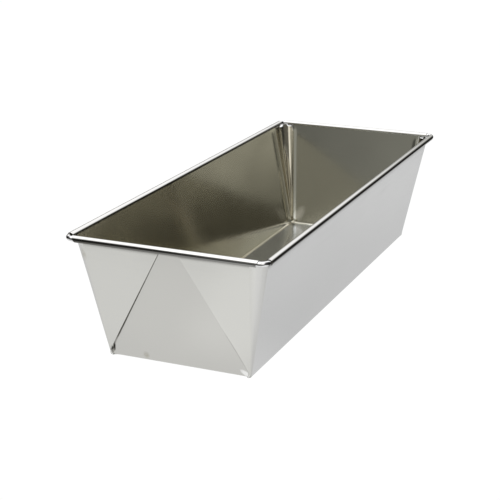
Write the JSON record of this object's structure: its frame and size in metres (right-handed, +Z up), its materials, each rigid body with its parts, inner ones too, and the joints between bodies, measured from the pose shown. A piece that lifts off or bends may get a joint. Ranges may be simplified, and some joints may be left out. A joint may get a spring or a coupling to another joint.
{
  "type": "loaf pan",
  "caption": "Long tapered open loaf pan folded from one sheet, corners tucked flat against the end walls, rim rolled over a steel wire.",
  "frame": {"origin": "middle of the underside, on the plane the pan stands on", "axes": "+X along the length, from the front end wall to the back one; +Y across, towards the left side wall; +Z up, out of the mouth"},
  "size_m": [0.2994, 0.1138, 0.07],
  "materials": {
    "pan_sheet": "bright rolled sheet with a fine level grain, satin, faintly warm",
    "rolled_rim": "the same sheet, polished a little by the rolling",
    "rim_wire": "bright drawn steel wire, glossy"
  },
  "bodies": {
    "root": {"floor_panel": "pan_sheet", "end_wall_front": "pan_sheet", "end_wall_back": "pan_sheet", "side_wall_left": "pan_sheet", "side_wall_right": "pan_sheet", "corner_bend_front_left": "pan_sheet", "corner_bend_front_right": "pan_sheet", "corner_bend_back_left": "pan_sheet", "corner_bend_back_right": "pan_sheet", "corner_gusset_front_left": "pan_sheet", "corner_gusset_front_right": "pan_sheet", "corner_gusset_back_left": "pan_sheet", "corner_gusset_back_right": "pan_sheet", "rolled_rim_front": "rolled_rim", "rolled_rim_back": "rolled_rim", "rolled_rim_left": "rolled_rim", "rolled_rim_right": "rolled_rim", "rim_wire": "rim_wire"}
  },
  "joints": []
}
